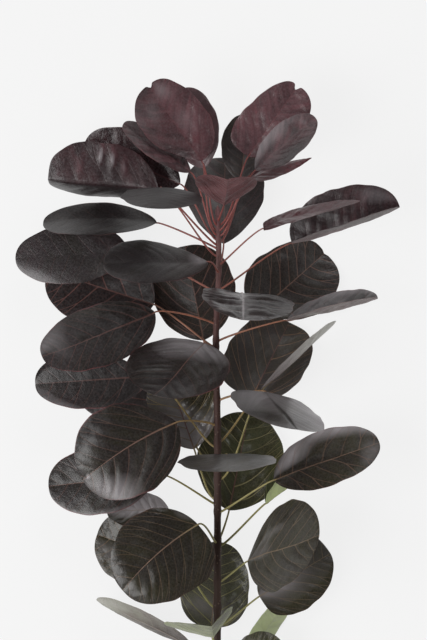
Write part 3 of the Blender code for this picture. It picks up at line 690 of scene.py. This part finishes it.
def leafMaterial(name, look, veinGroup, outward):
    material, tree, shader = principled(name)
    surface = newNode(tree, "ShaderNodeUVMap", uv_map="surfaceMap").outputs["UV"]
    age, edge, seed = (attribute(tree, key) for key in ("leafAge", "leafEdge", "leafSeed"))
    pattern = newNode(tree, "ShaderNodeGroup", node_tree=veinGroup)
    for socket, value in (("Map", surface), ("Veins", attribute(tree, "leafVeins")), ("Edge", edge), ("Seed", seed)):
        wire(tree, value, pattern.inputs[socket])
    patches = leafNoise(tree, surface, seed, 3.2, 3.0)
    speckle = leafNoise(tree, surface, seed, 22.0, 4.0)
    shade = mathNode(tree, "MULTIPLY_ADD", patches, look["patch"], mathNode(tree, "ADD", age, -0.5 * look["patch"]))
    shade = mathNode(tree, "MULTIPLY_ADD", speckle, 0.16, mathNode(tree, "ADD", shade, -0.13))
    shade = mathNode(tree, "MULTIPLY_ADD", pattern.outputs["Streak"], 0.1, shade)
    colour = colourRamp(tree, shade, look["blade"])
    veinColour = colourRamp(tree, age, look["veins"])
    show = mathNode(tree, "MULTIPLY", attribute(tree, "leafShow"), look["veinShare"])
    # Painted shade: the blade is darkened in a band along each sunken vein
    grooveShadeAmount = mathNode(tree, "MULTIPLY", pattern.outputs["Groove Shade"], look["veinGrooveShade"])
    colour = mixColour(tree, grooveShadeAmount, colour, (0.006, 0.004, 0.004, 1.0))
    # Painted light: the skin is mixed toward the pale colour, for its waxy bloom and as painted sheen, and toward near
    # black as painted shade, by the leaf's signed paleness and its spots
    cloudy = mathNode(tree, "MULTIPLY_ADD", pattern.outputs["Streak"], 0.3, 0.7)
    bloomSheenShade = mathNode(tree, "MULTIPLY", attribute(tree, "leafBloomSheenShade"), cloudy)
    pale = mathNode(tree, "MINIMUM", mathNode(tree, "MAXIMUM", bloomSheenShade, 0.0), 0.9)
    colour = mixColour(tree, pale, colour, (*look["bloomSheenShade"], 1.0))
    paintedShade = mathNode(tree, "MINIMUM", mathNode(tree, "MAXIMUM", mathNode(tree, "MULTIPLY", bloomSheenShade, -1.0), 0.0), 0.9)
    colour = mixColour(tree, paintedShade, colour, (*look["dark"], 1.0))
    grain = leafNoise(tree, surface, seed, 50.0, 3.0)
    fleck = mathNode(tree, "MULTIPLY_ADD", age, look["fleckYoung"], look["fleck"])
    fleck = mathNode(tree, "MULTIPLY", rampValue(tree, grain, 0.38, 0.64), fleck)
    colour = mixColour(tree, fleck, colour, (*look["bloomSheenShade"], 1.0))
    fine = mathNode(tree, "MULTIPLY", pattern.outputs["Net"], mathNode(tree, "MULTIPLY_ADD", show, 0.09, 0.02))
    colour = mixColour(tree, fine, colour, veinColour)
    strong = mathNode(tree, "MULTIPLY_ADD", show, 0.85, 0.03)
    colour = mixColour(tree, mathNode(tree, "MULTIPLY", pattern.outputs["Side Veins"], strong), colour, veinColour)
    strong = mathNode(tree, "MULTIPLY", attribute(tree, "leafMidrib"), 0.8)
    ribColour = colourRamp(tree, attribute(tree, "leafRib"), look["veins"])
    colour = mixColour(tree, mathNode(tree, "MULTIPLY", pattern.outputs["Middle"], strong), colour, ribColour)
    rim = mathNode(tree, "MULTIPLY", rampValue(tree, edge, 0.955, 1.0), attribute(tree, "leafRim"))
    rim = mathNode(tree, "MULTIPLY", rim, rampValue(tree, leafNoise(tree, surface, seed, 2.6, 2.0), 0.36, 0.6))
    colour = mixColour(tree, rim, colour, colourRamp(tree, age, look["edge"]))
    wire(tree, colour, shader.inputs["Base Color"])
    polish = mathNode(tree, "MULTIPLY", attribute(tree, "leafGloss"), -0.13)
    rough = mathNode(tree, "MULTIPLY_ADD", speckle, 0.08, look["roughness"] - 0.04)
    wire(tree, mathNode(tree, "ADD", rough, polish), shader.inputs["Roughness"])
    shader.inputs["Specular IOR Level"].default_value = look["specular"]
    shader.inputs["Sheen Weight"].default_value = look["sheen"]
    shader.inputs["Sheen Roughness"].default_value = 0.4
    height = mathNode(tree, "MULTIPLY_ADD", grain, 0.7, pattern.outputs["Height"])
    bump = newNode(tree, "ShaderNodeBump")
    bump.inputs["Strength"].default_value = look["bump"]
    bump.inputs["Distance"].default_value = 0.0003 * outward
    wire(tree, height, bump.inputs["Height"])
    wire(tree, bump.outputs["Normal"], shader.inputs["Normal"])
    return material


# Stalks go by their joint's height from yellow-green through orange to red-brown, ribs by the leaf's age
stalkLook = {
    "colours": [(0.0, (0.25, 0.26, 0.09)), (0.5, (0.25, 0.21, 0.07)), (0.64, (0.25, 0.14, 0.055)),
                (0.76, (0.25, 0.10, 0.055)), (0.9, (0.22, 0.06, 0.045)), (1.0, (0.21, 0.045, 0.040))],
    "rib": [(0.0, (0.24, 0.24, 0.12)), (0.3, (0.16, 0.10, 0.075)), (0.6, (0.11, 0.055, 0.05)),
            (1.0, (0.12, 0.04, 0.045))],
    "roughness": 0.5,
}


def stalkMaterial():
    material, tree, shader = principled("stalkSkin")
    part = attribute(tree, "leafPart")
    place = newNode(tree, "ShaderNodeTexCoord").outputs["Object"]
    streak = newNode(tree, "ShaderNodeTexNoise")
    wire(tree, place, streak.inputs["Vector"])
    streak.inputs["Scale"].default_value = 420.0
    skin = colourRamp(tree, attribute(tree, "leafJoin"), stalkLook["colours"])
    rib = colourRamp(tree, attribute(tree, "leafRib"), stalkLook["rib"])
    colour = mixColour(tree, rampValue(tree, part, 0.85, 1.25), skin, rib)
    darker = mathNode(tree, "MULTIPLY", rampValue(tree, streak.outputs["Fac"], 0.35, 0.75), 0.3)
    colour = mixColour(tree, darker, colour, (0.05, 0.02, 0.018, 1.0))
    wire(tree, colour, shader.inputs["Base Color"])
    shader.inputs["Roughness"].default_value = stalkLook["roughness"]
    bump = newNode(tree, "ShaderNodeBump")
    bump.inputs["Strength"].default_value = 0.2
    bump.inputs["Distance"].default_value = 0.0002
    wire(tree, streak.outputs["Fac"], bump.inputs["Height"])
    wire(tree, bump.outputs["Normal"], shader.inputs["Normal"])
    return material


barkLook = {
    "colours": [(0.0, (0.030, 0.019, 0.014)), (0.3, (0.040, 0.022, 0.016)), (0.7, (0.050, 0.022, 0.018)),
                (0.82, (0.080, 0.036, 0.034)), (0.92, (0.13, 0.066, 0.062)), (1.0, (0.15, 0.066, 0.070))],
    "dots": (0.15, 0.10, 0.075), "roughness": 0.65, "specular": 0.25,
}


def barkMaterial():
    material, tree, shader = principled("stemSkin")
    part = attribute(tree, "stemPart")
    place = newNode(tree, "ShaderNodeTexCoord").outputs["Object"]
    stretch = newNode(tree, "ShaderNodeMapping")
    wire(tree, place, stretch.inputs["Vector"])
    stretch.inputs["Scale"].default_value = (1.0, 0.25, 1.0)
    streak = newNode(tree, "ShaderNodeTexNoise")
    wire(tree, stretch.outputs["Vector"], streak.inputs["Vector"])
    streak.inputs["Scale"].default_value = 900.0
    streak.inputs["Detail"].default_value = 4.0
    dots = newNode(tree, "ShaderNodeTexVoronoi")
    wire(tree, place, dots.inputs["Vector"])
    dots.inputs["Scale"].default_value = 330.0
    spot = mathNode(tree, "SUBTRACT", 1.0, rampValue(tree, dots.outputs["Distance"], 0.12, 0.24))
    colour = colourRamp(tree, part, barkLook["colours"])
    dark = mathNode(tree, "MULTIPLY", rampValue(tree, streak.outputs["Fac"], 0.4, 0.7), 0.45)
    colour = mixColour(tree, dark, colour, (0.03, 0.016, 0.013, 1.0))
    colour = mixColour(tree, mathNode(tree, "MULTIPLY", spot, 0.5), colour, (*barkLook["dots"], 1.0))
    wire(tree, colour, shader.inputs["Base Color"])
    shader.inputs["Roughness"].default_value = barkLook["roughness"]
    shader.inputs["Specular IOR Level"].default_value = barkLook["specular"]
    bump = newNode(tree, "ShaderNodeBump")
    bump.inputs["Strength"].default_value = 0.4
    bump.inputs["Distance"].default_value = 0.0003
    wire(tree, mathNode(tree, "ADD", streak.outputs["Fac"], spot), bump.inputs["Height"])
    wire(tree, bump.outputs["Normal"], shader.inputs["Normal"])
    return material


veinGroup = makeVeinGroup()
leafMaterials = [
    leafMaterial("bladeUpper", upperLook, veinGroup, 1.0),
    leafMaterial("bladeUnder", underLook, veinGroup, -1.0),
    stalkMaterial(),
]
print("materials made")
for number, leaf in leaves.items():
    makeLeaf(number, leaf, leafMaterials)
print("leaves made:", len(leaves))
makeStem(barkMaterial())
print("stem made")

# The pale table glows a little, so that shadows stay faint. The sky is bright all round and dimmer overhead,
# with one large soft lamp beyond the shoot's tip and a weaker one behind its cut end
studio = {
    "tableSize": 6.0, "tableColour": (0.08, 0.08, 0.08), "tableGlow": 0.82,
    "skyLow": 0.85, "skyHigh": 0.07, "darkFrom": 0.3, "darkTo": 0.97,
}
lamps = {
    "leftLamp": dict(place=(-1.15, -0.35, 1.45), size=1.3, power=32.0),
    "tipLamp": dict(place=(0.5, 1.35, 1.25), size=0.8, power=8.0),
}


def makeLamp(name, place, size, power):
    light = bpy.data.lights.new(name, "AREA")
    light.size = size
    light.energy = power
    holder = bpy.data.objects.new(name, light)
    holder.location = place
    holder.rotation_euler = Vector(place).to_track_quat("Z", "Y").to_euler()
    bpy.context.collection.objects.link(holder)


def makeSky():
    world = bpy.data.worlds.new("studioSky")
    world.use_nodes = True
    tree = world.node_tree
    direction = newNode(tree, "ShaderNodeTexCoord").outputs["Generated"]
    parts = newNode(tree, "ShaderNodeSeparateXYZ")
    wire(tree, direction, parts.inputs[0])
    strength = newNode(tree, "ShaderNodeMapRange", interpolation_type="SMOOTHSTEP")
    wire(tree, parts.outputs["Z"], strength.inputs["Value"])
    strength.inputs["From Min"].default_value = studio["darkFrom"]
    strength.inputs["From Max"].default_value = studio["darkTo"]
    strength.inputs["To Min"].default_value = studio["skyLow"]
    strength.inputs["To Max"].default_value = studio["skyHigh"]
    wire(tree, strength.outputs["Result"], tree.nodes["Background"].inputs["Strength"])
    tree.nodes["Background"].inputs["Color"].default_value = (1.0, 1.0, 1.0, 1.0)
    bpy.context.scene.world = world


def makeTable():
    size = studio["tableSize"] / 2
    mesh = bpy.data.meshes.new("table")
    corners = [(-size, -size), (size, -size), (size, size), (-size, size)]
    mesh.from_pydata([(x, y, cadLow[2] - 0.0004) for x, y in corners], [], [(0, 1, 2, 3)])
    table = bpy.data.objects.new("table", mesh)
    bpy.context.collection.objects.link(table)
    material, tree, shader = principled("paleTable")
    shader.inputs["Base Color"].default_value = (*studio["tableColour"], 1.0)
    shader.inputs["Roughness"].default_value = 1.0
    shader.inputs["Specular IOR Level"].default_value = 0.0
    shader.inputs["Emission Color"].default_value = (1.0, 1.0, 1.0, 1.0)
    shader.inputs["Emission Strength"].default_value = studio["tableGlow"]
    mesh.materials.append(material)


# The camera looks straight down, 2.4 m above the middle of the leaves, and 640 pixels span 409.6 mm
camera = {"centre": (-2.56, 265.0), "height": 2435.0, "distance": 2400.0, "span": 409.6, "sensor": 24.0}


def makeCamera():
    data = bpy.data.cameras.new("cameraAbove")
    data.sensor_fit = "VERTICAL"
    data.sensor_height = camera["sensor"]
    data.lens = camera["sensor"] * camera["distance"] / camera["span"]
    eye = bpy.data.objects.new("cameraAbove", data)
    eye.location = (np.array([*camera["centre"], camera["height"]]) + shift) * mm
    bpy.context.collection.objects.link(eye)
    bpy.context.scene.camera = eye


makeTable()
makeSky()
for name, lamp in lamps.items():
    makeLamp(name, **lamp)
bpy.context.scene.view_settings.view_transform = "Standard"
makeCamera()
print("studio and camera made")
